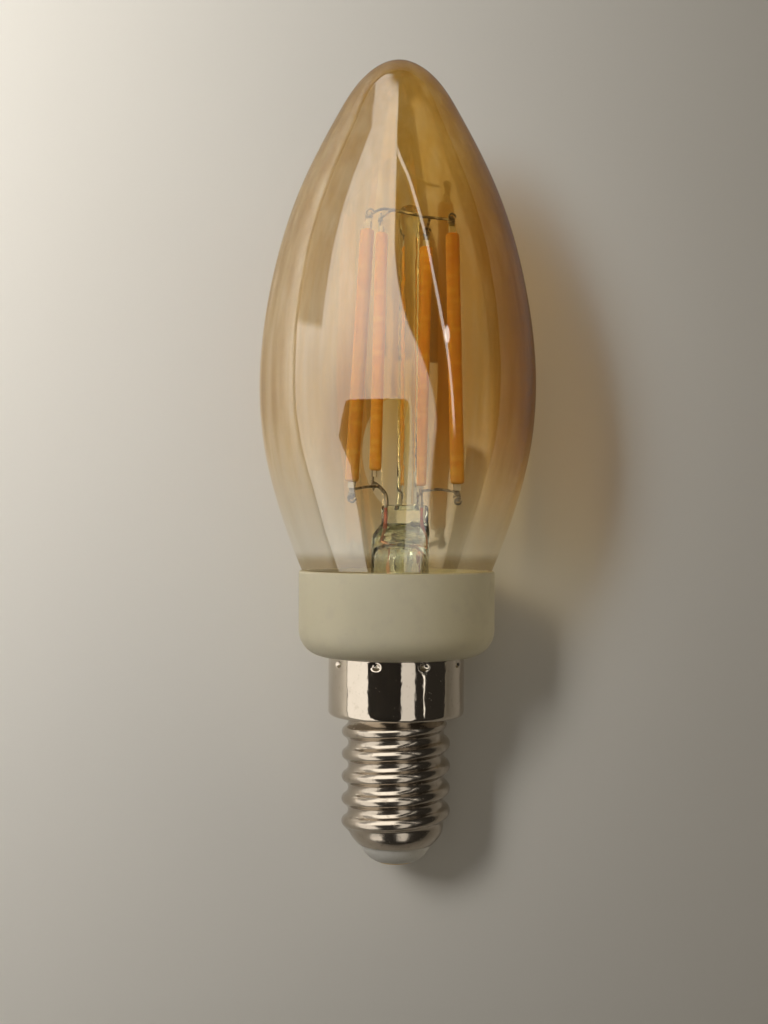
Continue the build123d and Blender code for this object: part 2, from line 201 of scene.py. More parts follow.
def solid_glass(name, tint, waves):
    """Thick clear glass that bends what is behind it, and lets lamps shine through."""
    finish = Finish(name)
    ripple = finish.relief(finish.cloud(0.5, 3.0, (1, 1, 0.4)), waves)
    bent = finish.node("BsdfGlass", values={"Color": (*tint, 1), "IOR": 1.5, "Roughness": 0.0,
                                            "Normal": ripple})
    shadow = finish.node("LightPath", output="Is Shadow Ray")
    return finish.show(finish.blend(shadow, bent, finish.clear(tint)))


stem_glass = solid_glass("clear_stem_glass", (0.95, 0.975, 0.94), 0.25)
tube_x = 0.4
press_x = 1.0
post_x = 1.2
button_x = 1.4
pump_x = 0.9

inside_of_stem = [
    ((0.5, 0, 40.7), 0.5, 0.5), ((tube_x, 0, 40.5), 1.9, 1.8), ((tube_x, 0, 39.9), 2.75, 2.65),
    ((tube_x, 0, 38.8), 3.03, 3.03), ((tube_x, 0, 36.0), 3.1, 3.1), ((0.15, 0, 34.6), 3.5, 3.5),
    ((0, 0, 33.2), 4.5, 4.5), ((0, 0, 32.2), 6.2, 6.2), ((0, 0, 31.75), 7.6, 7.6),
    ((0, 0, 31.5), 8.3, 8.3),
]
outside_of_stem = [
    ((0, 0, 31.5), 8.9, 8.9), ((0, 0, 32.1), 8.9, 8.9), ((0, 0, 32.3), 7.9, 7.9),
    ((0, 0, 32.8), 6.5, 6.5), ((0, 0, 33.7), 5.0, 5.0), ((0.15, 0, 34.8), 4.15, 4.15),
    ((tube_x, 0, 36.0), 3.72, 3.72), ((tube_x, 0, 37.4), 3.65, 3.65),
    ((tube_x, 0, 41.0), 3.65, 3.62), ((0.55, 0, 41.7), 3.6, 3.2), ((0.8, 0, 42.4), 3.3, 2.1),
    ((press_x, 0, 43.0), 3.02, 1.4), ((press_x, 0, 43.8), 3.0, 1.3), ((press_x, 0, 45.0), 3.0, 1.3),
    ((press_x, 0, 45.3), 2.85, 1.15), ((press_x, 0, 45.4), 2.5, 0.8),
]
set_in_place("stem_press_and_flare", lofted(inside_of_stem + outside_of_stem), stem_glass,
             "stem_glass", "stem_flare")

post_foot = [((post_x, 0, 44.7), 1.5, 1.28), ((post_x, 0, 45.6), 1.32, 1.25)]
post_lean = button_x - post_x
post_rod = [((post_x + post_lean * i / 8, 0, 46.5 + 4.1 * i), 1.25, 1.25) for i in range(9)]
button = [
    ((button_x, 0, 80.6), 1.34, 1.3), ((button_x, 0, 81.2), 1.48, 1.46), ((button_x, 0, 82.0), 1.54, 1.5),
    ((button_x, 0, 82.8), 1.36, 1.34), ((button_x, 0, 83.3), 0.98, 0.96),
    ((button_x, 0, 83.55), 0.45, 0.44),
]
set_in_place("glass_post_and_button", lofted(post_foot + post_rod + button, 48), stem_glass,
             "stem_glass", "glass_post")

pump_tube = [
    ((pump_x, 0, 30.82), 0.3, 0.3), ((pump_x, 0, 31.0), 0.75, 0.75), ((pump_x, 0, 31.5), 1.05, 1.05),
    ((pump_x, 0, 32.4), 1.1, 1.1), ((pump_x, 0, 40.6), 1.1, 1.1), ((pump_x, 0, 40.8), 1.4, 1.4),
]
set_in_place("exhaust_tube_sealed", lofted(pump_tube, 40), stem_glass, "stem_glass", "exhaust_tube")


# ---- wires ---------------------------------------------------------------------------------------
# The lead and cross wires are nickel-plated steel, dulled by the flame that sealed them. The copper
# wires carry on below the press, joined by the red sleeve of a dumet piece inside the glass.

def repaint(finish, *names):
    """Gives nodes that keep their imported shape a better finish."""
    for name in names:
        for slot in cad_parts[name].material_slots:
            slot.link = "OBJECT"
            slot.material = finish


def drawn_wire(name, colour, dull, rough):
    finish = Finish(name, {"Metallic": 1.0})
    scale = finish.cloud(2.6, 4.0)
    soot = finish.cloud(0.7, 2.0, shift=(4, 2, 7)).between(0.42, 0.66)
    draw_lines = finish.cloud(9.0, 2.0, (1, 1, 0.1))
    tone = finish.colours(scale, colour, tuple(c * 0.72 for c in colour))
    return finish.feed(Base_Color=finish.colours(soot, tone, dull),
                       Roughness=rough + 0.22 * scale + 0.15 * soot,
                       Normal=finish.relief(draw_lines * 0.6 + scale * 0.4, 0.02))


nickel_wire = drawn_wire("flame_dulled_nickel_wire", (0.42, 0.39, 0.35), (0.12, 0.10, 0.085), 0.25)
dumet_wire = drawn_wire("red_dumet_wire", (0.62, 0.16, 0.09), (0.36, 0.09, 0.06), 0.3)
copper_wire = drawn_wire("bare_copper_wire", (0.70, 0.36, 0.22), (0.34, 0.16, 0.10), 0.25)
repaint(nickel_wire, "top_bridge_wire", "top_cross_wire_left", "top_cross_wire_right",
        "inner_lead_left", "inner_lead_right", "bottom_cross_wire_left", "bottom_cross_wire_right")
repaint(dumet_wire, "dumet_seal_left", "dumet_seal_right")
repaint(copper_wire, "outer_lead_left", "outer_lead_right", "live_lead", "fuse_lead", "neutral_lead")


# ---- filaments -----------------------------------------------------------------------------------
# Each filament is a ceramic strip with a row of dies, lapped by a metal tab at either end and cast
# in orange phosphor silicone. The casting is soft, so its faces sag a little and its ends are round.

coat_width = 1.7
coat_depth = 1.5
coat_length = 31.5
coat_edge = 0.62
coat_end = 0.42
coat_sag = 0.042
coat_rings = 60
filament_ends = {
    "right_front": ((7.5, -3.0, 48.0), (6.8, -2.6, 79.5), 15),
    "right_rear": ((3.0, 6.2, 48.0), (3.6, 5.6, 79.5), 10),
    "left_rear": ((-2.85, 6.2, 50.0), (-2.35, 5.6, 81.5), 75),
    "left_front": ((-5.7, -4.4, 48.2), (-4.0, -3.8, 79.7), -20),
}

phosphor = Finish("orange_phosphor_silicone", {"Subsurface Weight": 0.25, "Subsurface Scale": 0.0012,
                                               "Subsurface Radius": (1.0, 0.45, 0.1), "IOR": 1.42})
settled = phosphor.cloud(1.1, 3.0, (1, 1, 0.4))
grit = phosphor.cloud(14.0, 3.0)
thin = phosphor.cells(0.87, (0.3, 0.3, 1)).between(0.18, 0.5)
orange = phosphor.colours(settled.between(0.35, 0.65), (0.93, 0.42, 0.035), (0.78, 0.27, 0.015))
orange = phosphor.colours(thin * 0.35, (0.98, 0.56, 0.08), orange)
phosphor_silicone = phosphor.feed(
    Base_Color=phosphor.colours(grit.between(0.55, 0.8) * 0.35, orange, (0.60, 0.20, 0.01)),
    Roughness=0.36 + 0.25 * grit,
    Normal=phosphor.relief(grit * 0.5 + settled, 0.05))


def lay_filament(shape, piece, finish, slot, node, name):
    """Lays a part modelled upright into its filament's place, with the filament's lean and turn."""
    low, high, turn = filament_ends[name]
    lean = Vector((0, 0, 1)).rotation_difference(Vector(high) - Vector(low)).to_matrix()
    facing = Matrix.Rotation(math.radians(turn), 3, "Z")
    bmesh.ops.recalc_face_normals(shape, faces=shape.faces[:])
    bmesh.ops.rotate(shape, cent=(0, 0, 0), matrix=facing @ lean, verts=shape.verts[:])
    bmesh.ops.translate(shape, vec=low, verts=shape.verts[:])
    set_in_place(piece + name, shape, finish, slot, node + name, sharp=1.2)


def eased(shape, edges, radius, segments):
    """Rounds these edges of a shape."""
    bmesh.ops.bevel(shape, geom=list(edges), offset=radius, segments=segments, affect="EDGES",
                    profile=0.5, material=-1)


def filament_coat(name):
    """A cast bar with rounded edges and ends, its faces slightly uneven."""
    shape = bmesh.new()
    bmesh.ops.create_cube(shape, size=1)
    bmesh.ops.scale(shape, vec=(coat_width, coat_depth, coat_length), verts=shape.verts[:])
    long_edges = [e for e in shape.edges if abs(e.verts[0].co.z - e.verts[1].co.z) > 1]
    eased(shape, long_edges, coat_edge, 6)
    rims = [e for e in shape.edges if abs(abs(e.verts[0].co.z + e.verts[1].co.z) - coat_length) < 1e-4]
    eased(shape, rims, coat_end, 4)
    uprights = [e for e in shape.edges if abs(e.verts[0].co.z - e.verts[1].co.z) > 20]
    bmesh.ops.subdivide_edges(shape, edges=uprights, cuts=coat_rings, use_grid_fill=True)
    seed = 13.0 * sorted(filament_ends).index(name)
    for vert in shape.verts:
        unevenness = noise.noise(Vector((vert.co.x, vert.co.y, vert.co.z * 0.35 + seed)))
        vert.co.xy *= 1 - coat_sag * abs(unevenness)
    bmesh.ops.translate(shape, vec=(0, 0, coat_length / 2), verts=shape.verts[:])
    lay_filament(shape, "phosphor_coat_", phosphor_silicone, "phosphor", "filament_phosphor_", name)


tab_width = 0.9
tab_taper = 0.62
tab_thickness = 0.2
tab_edge = 0.05
tab_offset = 0.3
tab_reach = 2.2
tab_lap = 0.5
coil_start = 1.3
coil_radius = 0.41
coil_wire = 0.11
coil_turn = 820
coil_rise = 0.012
coil_squash = 0.5
hook_start = 2.05
hook_aside = 0.1
hook_radius = 0.46
hook_wire = 0.13
hook_turn = 285
hook_rise = -0.012


def bent_wire(shape, radius, start, facing, centre, axis, degrees, rise, steps):
    """A round wire swept from a start about an axis, rising a little at each step."""
    section = bmesh.ops.create_circle(shape, segments=8, radius=radius)["verts"]
    bmesh.ops.rotate(shape, cent=(0, 0, 0), matrix=facing, verts=section)
    bmesh.ops.translate(shape, vec=start, verts=section)
    face = bmesh.ops.contextual_create(shape, geom=section)["faces"]
    bmesh.ops.spin(shape, geom=face, cent=centre, axis=axis, angle=math.radians(degrees), dvec=rise,
                   steps=steps)


def filament_tabs(name):
    """Two tapered strips lapped behind the ceramic's ends, each with a wire's coil and hook on it."""
    shape = bmesh.new()
    length = tab_reach + tab_lap
    lying = Matrix.Rotation(math.pi / 2, 3, "X")
    upright = Matrix.Identity(3)
    for end, outward in ((0, -1), (coat_length, 1)):
        strip = bmesh.ops.create_cube(shape, size=1)["verts"]
        bmesh.ops.scale(shape, vec=(tab_width, tab_thickness, length), verts=strip)
        outer = [v for v in strip if outward * v.co.z > 0]
        bmesh.ops.scale(shape, vec=(tab_taper, 1, 1), verts=outer)
        middle = end + outward * (tab_reach - length / 2)
        bmesh.ops.translate(shape, vec=(0, tab_offset, middle), verts=strip)
        eased(shape, {edge for vert in strip for edge in vert.link_edges}, tab_edge, 2)
        so_far = set(shape.verts)
        bent_wire(shape, coil_wire, (coil_radius, 0, end + outward * coil_start), lying,
                  (0, 0, 0), (0, 0, 1), coil_turn, (0, 0, outward * coil_rise), 50)
        coil = list(set(shape.verts) - so_far)
        bmesh.ops.scale(shape, vec=(1, coil_squash, 1), verts=coil)
        bmesh.ops.translate(shape, vec=(0, tab_offset, 0), verts=coil)
        hook = Vector((hook_aside, tab_offset, end + outward * hook_start))
        bent_wire(shape, hook_wire, hook + Vector((hook_radius, 0, 0)), upright,
                  hook, (0, -outward, 0), hook_turn, (0, hook_rise, 0), 26)
    lay_filament(shape, "filament_end_tabs_", nickel_wire, "nickel_wire", "filament_tabs_", name)


for name in filament_ends:
    filament_coat(name)
    filament_tabs(name)

ceramic = Finish("white_ceramic_strip", {"IOR": 1.6})
grain = ceramic.cloud(8.0, 4.0)
ceramic_strip = ceramic.feed(Base_Color=ceramic.colours(grain, (0.80, 0.78, 0.72), (0.62, 0.60, 0.54)),
                             Roughness=0.5 + 0.2 * grain, Normal=ceramic.relief(grain, 0.02))
die = Finish("sapphire_die", {"Metallic": 0.3, "IOR": 1.76})
pads = die.cells(3.0).between(0.2, 0.35)
sapphire_die = die.feed(Base_Color=die.colours(pads, (0.75, 0.6, 0.25), (0.12, 0.16, 0.3)),
                        Roughness=0.15 + 0.2 * pads)
for name in filament_ends:
    repaint(ceramic_strip, "filament_substrate_" + name)
    repaint(sapphire_die, "filament_chips_" + name)


# ---- glass bulb ----------------------------------------------------------------------------------
# The bulb is blown soda glass 0.8 mm thick, drawn to a closed point at the tip and left open at the
# neck. Its amber coat fades out near the neck, and it sits in the collar on a bed of silicone.

glass_wall = 0.8
neck_points = [(9.8, 31.4), (10.5, 34.0), (12.0, 37.0)]
flame_points = [(12.0, 37.0), (14.95, 45.0), (16.75, 52.0), (17.5, 61.0), (16.35, 72.0),
                (13.05, 84.0), (7.75, 95.0), (4.0, 100.2), (0.0, 102.0)]


def smooth_line(points, leaving, arriving, steps):
    """Points along one smooth curve through (radius, height) points, with its end directions."""
    spots = np.array(points, float)
    gaps = np.linalg.norm(np.diff(spots, axis=0), axis=1)
    count = len(spots)
    system = np.eye(count)
    slopes = np.array([leaving, *np.zeros((count - 2, 2)), arriving], float)
    for i in range(1, count - 1):
        before, after = gaps[i - 1], gaps[i]
        system[i, i - 1:i + 2] = 1 / before, 2 / before + 2 / after, 1 / after
        slopes[i] = 3 * ((spots[i] - spots[i - 1]) / before**2 + (spots[i + 1] - spots[i]) / after**2)
    slopes = np.linalg.solve(system, slopes)
    line = []
    for i, gap in enumerate(gaps):
        ends = [spots[i], spots[i] + slopes[i] * gap / 3, spots[i + 1] - slopes[i + 1] * gap / 3,
                spots[i + 1]]
        line += geometry.interpolate_bezier(*[Vector(p) for p in ends], steps)[:-1]
    return line + [Vector(points[-1])]


def turned(outline, steps, closed=True):
    """Spins an outline of (radius, height) points about the lamp's axis, and closes its poles."""
    shape = bmesh.new()
    spots = [shape.verts.new((r, 0, z)) for r, z in outline]
    pairs = list(zip(spots, spots[1:]))
    if closed:
        pairs.append((spots[-1], spots[0]))
    edges = [shape.edges.new(pair) for pair in pairs]
    bmesh.ops.spin(shape, geom=spots + edges, cent=(0, 0, 0), axis=(0, 0, 1), dvec=(0, 0, 0),
                   angle=2 * math.pi, steps=steps, use_merge=True)
    bmesh.ops.remove_doubles(shape, verts=shape.verts[:], dist=1e-5)
    bmesh.ops.recalc_face_normals(shape, faces=shape.faces[:])
    return shape


neck = smooth_line(neck_points, (0.148, 0.989), (0.39, 0.92), 8)
flame = smooth_line(flame_points, (0.39, 0.92), (-1, 0), 15)
outside = neck + flame[1:]
inside = []
for before, here, after in zip([outside[0]] + outside, outside, outside[1:] + [outside[-1]]):
    along = (after - before).normalized()
    inside.append(here + Vector((-along.y, along.x)) * glass_wall)
inside[-1] = Vector((0, outside[-1].y - glass_wall))
bulb_outline = [tuple(p) for p in reversed(inside)] + [tuple(p) for p in outside]

bare_tint = (0.982, 0.976, 0.945)
amber_tint = (0.90, 0.665, 0.255)
edge_tint = (0.30, 0.15, 0.035)
# Olive tint for the neck band: part yellowed silicone, part painted shade.
silicone_and_shade_tint = (0.66, 0.56, 0.36)
face_gloss = 0.124
edge_gloss = 0.3
amber_starts = 36.0
amber_full = 61.0


def outer_face():
    """Amber from the belly up, deeper at a slant and, as painted shade, towards +X; silicone and painted
    shade at the neck.
    """
    finish = Finish("amber_bulb_glass")
    facing = finish.node("LayerWeight", values={"Blend": 0.5}, output="Facing")
    streaks = finish.cloud(0.55, 3.0, (1, 1, 0.06)).between(0.25, 0.75)
    patchy = finish.cloud(0.06, 2.0)
    # Painted shade: the amber is made deeper towards +X, the side away from the main light, and the dark
    # edge tint deepens with it.
    painted_shade_side = finish.along("X").between(-17, 9)
    depth = 0.28 + 0.30 * streaks + 0.2 * patchy + 0.46 * painted_shade_side
    depth = finish.along("Z").between(amber_starts, amber_full) * depth
    tinted = finish.blend(depth, finish.clear(bare_tint), finish.clear(amber_tint))
    tinted = finish.blend(facing ** 1.7 * (depth - 0.42) * 1.7, tinted, finish.clear(edge_tint))
    # Painted shade: a darker olive band on the glass just above the collar, standing for the silicone
    # together with the collar's shaded hollow seen through it.
    neck_shade_band = finish.along("Z").between(39.6, 38.0) * (0.55 + 0.5 * finish.cloud(0.25, 2.0))
    tinted = finish.blend(neck_shade_band, tinted, finish.clear(silicone_and_shade_tint))
    ripple = finish.relief(finish.cloud(0.09, 2.0, (1, 1, 0.35)), 0.16)
    shine = finish.node("BsdfGlossy", values={"Color": (1, 1, 1, 1), "Roughness": 0.015,
                                              "Normal": ripple})
    return finish.show(finish.blend(face_gloss + edge_gloss * facing ** 6, tinted, shine))


def inner_face():
    """Bare glass, with a faint mirror image and a few flow streaks."""
    finish = Finish("bulb_inner_face")
    flow_streaks = finish.cloud(0.4, 3.0, (1, 1, 0.1))
    shine = finish.node("BsdfGlossy", values={"Color": (1, 1, 1, 1), "Roughness": 0.03})
    bare = finish.clear((0.99, 0.99, 0.985))
    return finish.show(finish.blend(0.025 + 0.03 * flow_streaks, bare, shine))


bulb_shape = turned(bulb_outline, 160, closed=False)
for face in bulb_shape.faces:
    if face.normal.xy.dot(face.calc_center_median().xy) < 0:
        face.material_index = 1
bulb = set_in_place("bulb_envelope", bulb_shape, outer_face(), "amber_glass", "glass_bulb", sharp=1.2)
bulb.data.materials.append(inner_face())


# ---- collar and silicone -------------------------------------------------------------------------
# The collar is one moulding of cream PBT with a satin skin. The bulb's neck is bedded in it with
# clear silicone that has yellowed, and its spigot is gripped by the screw cap.

collar_radius = 12.4
collar_inside = 11.5
collar_top = 37.05
skirt_top = 26.3


def rounded(outline, corners):
    """An outline with some corners, given by their number, rounded to a radius."""
    line = []
    count = len(outline)
    for i, point in enumerate(outline):
        here = Vector(point)
        if i not in corners:
            line.append(tuple(here))
            continue
        back = (Vector(outline[i - 1]) - here).normalized()
        on = (Vector(outline[(i + 1) % count]) - here).normalized()
        half = back.angle(on) / 2
        reach = corners[i] / math.tan(half)
        pull = reach * 4 / 3 * math.tan((math.pi / 2 - half) / 2) * math.tan(half)
        ends = [here + back * reach, here + back * (reach - pull), here + on * (reach - pull),
                here + on * reach]
        line += [tuple(p) for p in geometry.interpolate_bezier(*ends, 9)]
    return line


collar_outline = [
    (collar_inside + 0.05, collar_top), (collar_radius, collar_top), (collar_radius, skirt_top),
    (8.3, skirt_top), (8.3, 20.6), (7.4, 20.6), (7.4, 26.6), (8.6, 27.3), (9.7, 28.2),
    (9.72, 31.3), (9.9, 31.3), (11.45, 36.0),
]
collar_line = rounded(collar_outline, {0: 0.12, 1: 0.25, 2: 3.3, 11: 0.1})
plastic = Finish("cream_satin_plastic", {"IOR": 1.5, "Subsurface Weight": 0.08,
                                         "Subsurface Radius": (1.0, 0.8, 0.5), "Subsurface Scale": 0.0008})
flow = plastic.cloud(0.16, 3.0, (1, 1, 0.5))
fine = plastic.cloud(9.0, 3.0)
speck = plastic.cells(1.3).between(0.10, 0.04)
handled = plastic.cloud(0.45, 4.0, shift=(3, 8, 1)).between(0.5, 0.72)
cream = plastic.colours(flow, (0.72, 0.65, 0.445), (0.655, 0.585, 0.385))
cream = plastic.colours(handled * 0.3, cream, (0.60, 0.53, 0.38))
satin_plastic = plastic.feed(
    Base_Color=plastic.colours(speck * 0.35, cream, (0.40, 0.33, 0.22)),
    Roughness=0.40 + 0.10 * fine + 0.12 * handled,
    Normal=plastic.relief(fine * 0.6 + flow * 0.4, 0.012))
set_in_place("collar_moulding", turned(collar_line, 160), satin_plastic, "collar_plastic", "collar")

bed = Finish("yellowed_silicone", {"IOR": 1.41, "Subsurface Weight": 0.2})
creep = bed.cloud(0.8, 3.0)
yellowed_silicone = bed.feed(Base_Color=bed.colours(creep, (0.40, 0.34, 0.20), (0.24, 0.19, 0.10)),
                             Roughness=0.3 + 0.2 * creep, Normal=bed.relief(creep, 0.1))
repaint(yellowed_silicone, "neck_cement")


# ---- screw cap -----------------------------------------------------------------------------------
# The cap is one cup drawn from nickel-plated sheet. Its thread was rolled between two dies, so both
# its sides wave, and nine punch marks round the skirt's top bite into the collar's spigot.

sheet = 0.3
skirt_radius = 8.6
root_radius = 6.05
crest_height = 0.82
thread_pitch = 2.822
thread_first = 4.6
thread_turns = 4.8
thread_start = math.radians(75)
punch_angles = [math.radians(-107.4 + 40 * i) for i in range(9)]
punch_height = 25.6
punch_radius = 0.62
punch_depth = 0.34
punch_stretch = Vector((0.95, 1.15))
run_in = 0.16
run_out = 0.12
run_fade = 0.28
thread_rows = 110
thread_sides = 252
thread_top = 18.55
top_fade = 0.3
thread_foot = 3.4
foot_fade = 1.2

skirt_inside = skirt_radius - sheet
root_inside = root_radius - sheet
cap_outline = [
    (skirt_radius, skirt_top), (skirt_radius, 25.0), (skirt_radius, 18.8), (root_radius, 18.8),
    (root_radius, 17.9), (root_radius, 4.9), (5.93, 4.2), (5.62, 3.6), (5.2, 3.1), (4.75, 2.6),
    (4.54, 2.82), (4.98, 3.28), (5.36, 3.74), (5.65, 4.3), (root_inside, 4.9), (root_inside, 17.9),
    (root_inside, 19.1), (skirt_inside, 19.1), (skirt_inside, 25.0), (skirt_inside, skirt_top),
]
cap_corners = {0: 0.12, 2: 0.6, 3: 0.3, 16: 0.6, 17: 0.3, 19: 0.1, 9: 0.1, 10: 0.1}


def drawn_cap():
    """The cap's wall as it is drawn, then its thread rolled and its punch marks struck."""
    line = rounded(cap_outline, cap_corners)
    shape = bmesh.new()
    spots = [shape.verts.new((r, 0, z)) for r, z in line]
    edges = [shape.edges.new(pair) for pair in zip(spots, spots[1:] + spots[:1])]
    thread_runs = [e for e in edges if e.calc_length() > 10]
    bmesh.ops.subdivide_edges(shape, edges=thread_runs, cuts=thread_rows)
    skirt_runs = [e for e in shape.edges if 3 < e.calc_length() < 10]
    bmesh.ops.subdivide_edges(shape, edges=skirt_runs, cuts=10)
    top_runs = [e for e in shape.edges if e.calc_length() > 0.9 and e.verts[0].co.z > 24.9
                and e.verts[1].co.z > 24.9]
    bmesh.ops.subdivide_edges(shape, edges=top_runs, cuts=9)
    bmesh.ops.spin(shape, geom=shape.verts[:] + shape.edges[:], cent=(0, 0, 0), axis=(0, 0, 1),
                   dvec=(0, 0, 0), angle=2 * math.pi, steps=thread_sides, use_merge=True)
    bmesh.ops.remove_doubles(shape, verts=shape.verts[:], dist=1e-5)
    bmesh.ops.recalc_face_normals(shape, faces=shape.faces[:])
    arc = ((thread_pitch / 4) ** 2 + (crest_height / 2) ** 2) / crest_height
    for vert in shape.verts:
        radius = vert.co.xy.length
        turn = math.atan2(vert.co.y, vert.co.x)
        if radius < root_radius + 0.02:
            part = (turn - thread_start) % (2 * math.pi) / (2 * math.pi)
            number = round((vert.co.z - thread_first) / thread_pitch - part)
            across = abs(vert.co.z - thread_first - (number + part) * thread_pitch)
            if across < thread_pitch / 4:
                lift = crest_height - arc + math.sqrt(arc**2 - across**2)
            else:
                lift = arc - math.sqrt(arc**2 - (thread_pitch / 2 - across) ** 2)
            ends = min(number + part + run_in, thread_turns + run_out - number - part) / run_fade
            fade = min(max(ends, 0), 1)
            lift *= fade * fade * (3 - 2 * fade)
            lift *= min(max((thread_top - vert.co.z) / top_fade, 0), 1)
            lift *= min(max((vert.co.z - thread_foot) / foot_fade, 0), 1)
            vert.co.xy *= 1 + lift / radius
        elif radius > skirt_inside - 0.1 and vert.co.z > punch_height - 1.2:
            for mark in punch_angles:
                aside = math.atan2(math.sin(turn - mark), math.cos(turn - mark)) * skirt_radius
                off = (Vector((aside, vert.co.z - punch_height)) * punch_stretch).length / punch_radius
                if off < 1:
                    vert.co.xy *= 1 - punch_depth * (1 - off**2) ** 1.3 / skirt_radius
    return shape


nickel = Finish("bright_nickel_plate", {"Metallic": 1.0})
smear = nickel.cloud(0.35, 3.0, (1, 1, 0.6))
pits = nickel.cells(1.6).between(0.07, 0.03)
rub = nickel.cloud(7.0, 3.0, (0.25, 0.25, 3.0))
worn = nickel.cloud(1.4, 5.0, shift=(1, 5, 2)).between(0.56, 0.74)
silver = nickel.colours(smear, (0.60, 0.53, 0.445), (0.50, 0.44, 0.36))
silver = nickel.colours(worn * 0.4, silver, (0.42, 0.36, 0.285))
# The thread is rougher and, as painted shade, darker: the darker colour stands for the dimmer room that
# its crests mirror.
thread_rough_and_shaded = nickel.along("Z").between(18.9, 18.4)
silver = nickel.colours(thread_rough_and_shaded * (0.35 + 0.3 * worn), silver, (0.26, 0.215, 0.165))
bright_nickel = nickel.feed(
    Base_Color=nickel.colours(pits * 0.7, silver, (0.20, 0.15, 0.11)),
    Roughness=0.03 + 0.05 * smear + 0.10 * worn + 0.3 * pits + 0.13 * thread_rough_and_shaded,
    Normal=nickel.relief(rub * 0.03 + smear * 3.0 - pits, 0.02))
set_in_place("screw_cap_shell", drawn_cap(), bright_nickel, "nickel_plate", "cap_shell", sharp=1.1)


# ---- contact end ---------------------------------------------------------------------------------
# A domed white plug closes the cap. A brass disc with a hollow rivet shank goes through it, and the
# live wire is soldered in the rivet, which leaves a low bright dome at the very end.

plug_outline = [
    (0.0, 6.2), (5.75, 6.2), (5.75, 4.9), (5.65, 4.3), (5.36, 3.74), (4.98, 3.28), (4.54, 2.82),
    (4.30, 2.1), (3.85, 1.45), (3.35, 0.95), (2.7, 0.55), (2.32, 0.55), (2.32, 0.86), (0.0, 0.86),
]
plug = Finish("white_cap_plug", {"IOR": 1.52})
mottle = plug.cloud(0.9, 4.0)
plug_speck = plug.cells(1.7).between(0.14, 0.06)
milk = plug.colours(mottle, (0.74, 0.72, 0.66), (0.60, 0.57, 0.50))
white_plug = plug.feed(Base_Color=plug.colours(plug_speck * 0.5, milk, (0.33, 0.27, 0.2)),
                       Roughness=0.42 + 0.2 * mottle, Normal=plug.relief(mottle, 0.03))
set_in_place("cap_plug", turned(plug_outline, 96, closed=False), white_plug, "cap_insulator",
             "cap_insulator")

disc_outline = [(0.7, 0.3), (2.3, 0.3), (2.3, 0.85), (1.1, 0.85), (1.1, 6.2), (0.7, 6.2)]
brass = Finish("brass_contact", {"Metallic": 1.0})
age = brass.cloud(1.3, 4.0)
scuffs = brass.cloud(12.0, 2.0, (0.2, 2.0, 1.0))
brass_metal = brass.feed(Base_Color=brass.colours(age, (0.82, 0.62, 0.30), (0.52, 0.36, 0.16)),
                         Roughness=0.2 + 0.3 * age, Normal=brass.relief(scuffs, 0.02))
set_in_place("contact_disc", turned(rounded(disc_outline, {1: 0.2, 2: 0.08}), 96), brass_metal,
             "contact_brass", "centre_contact")

solder_outline = [(0.0, 0.0), (0.4, 0.03), (0.75, 0.11), (1.02, 0.21), (1.2, 0.3), (0.7, 0.3),
                  (0.7, 2.2), (0.0, 2.2)]
tin = Finish("tinned_solder", {"Metallic": 1.0})
frost = tin.cloud(3.0, 4.0)
tinned_solder = tin.feed(Base_Color=tin.colours(frost, (0.72, 0.72, 0.70), (0.50, 0.50, 0.49)),
                         Roughness=0.22 + 0.3 * frost, Normal=tin.relief(frost, 0.05))
set_in_place("contact_solder_dome", turned(solder_outline, 72, closed=False), tinned_solder, "solder",
             "contact_solder")


# ---- driver --------------------------------------------------------------------------------------
# The driver board stands upright inside the collar and the cap. Its parts are bought-in: a wet
# capacitor, a wound choke, two moulded packages and small resistors, all joined with solder.

def fired(name, colour, shade, rough, metal=0.0, scale=2.0):
    """A plain bought-in finish with patches, fine grain and a slight relief."""
    finish = Finish(name, {"Metallic": metal})
    patch = finish.cloud(scale, 3.0)
    grain = finish.cloud(scale * 6, 2.0, shift=(2, 3, 5))
    return finish.feed(Base_Color=finish.colours(patch, colour, shade),
                       Roughness=rough + 0.15 * grain, Normal=finish.relief(grain, 0.02))


driver_finishes = {
    "driver_board": fired("green_board", (0.05, 0.22, 0.10), (0.03, 0.15, 0.07), 0.35),
    "smoothing_capacitor": fired("black_can_sleeve", (0.03, 0.03, 0.035), (0.06, 0.06, 0.07), 0.3),
    "choke_core": fired("grey_ferrite", (0.09, 0.085, 0.08), (0.05, 0.05, 0.05), 0.6),
    "choke_winding": fired("enamelled_copper", (0.55, 0.20, 0.08), (0.38, 0.12, 0.05), 0.25, 0.8, 6.0),
    "bridge_rectifier": fired("moulded_black", (0.025, 0.025, 0.025), (0.05, 0.05, 0.05), 0.5),
    "driver_chip": fired("moulded_black_chip", (0.03, 0.03, 0.03), (0.05, 0.05, 0.05), 0.5),
    "rectifier_leads": tinned_solder,
    "driver_chip_leads": tinned_solder,
    "solder_joints": tinned_solder,
    "sense_resistors": fired("resistor_body", (0.04, 0.04, 0.05), (0.10, 0.10, 0.11), 0.4),
    "fuse_resistor": fired("resistor_lacquer", (0.30, 0.40, 0.46), (0.22, 0.31, 0.37), 0.3),
    "live_lead_sleeve": fired("red_sleeving", (0.45, 0.06, 0.04), (0.32, 0.04, 0.03), 0.5),
}
for name, finish in driver_finishes.items():
    repaint(finish, name)


# ---- table, light and camera ---------------------------------------------------------------------
# The lamp lies on a pale matt table, touching it with its belly and the collar's edge. The main soft
# light is up and to the left. The glass and nickel mirror a bright wall, a strip and a black card.

belly_height = 61.0
belly_radius = 17.5
collar_edge_height = 29.6
table_half = 900
table_gap = 0.05

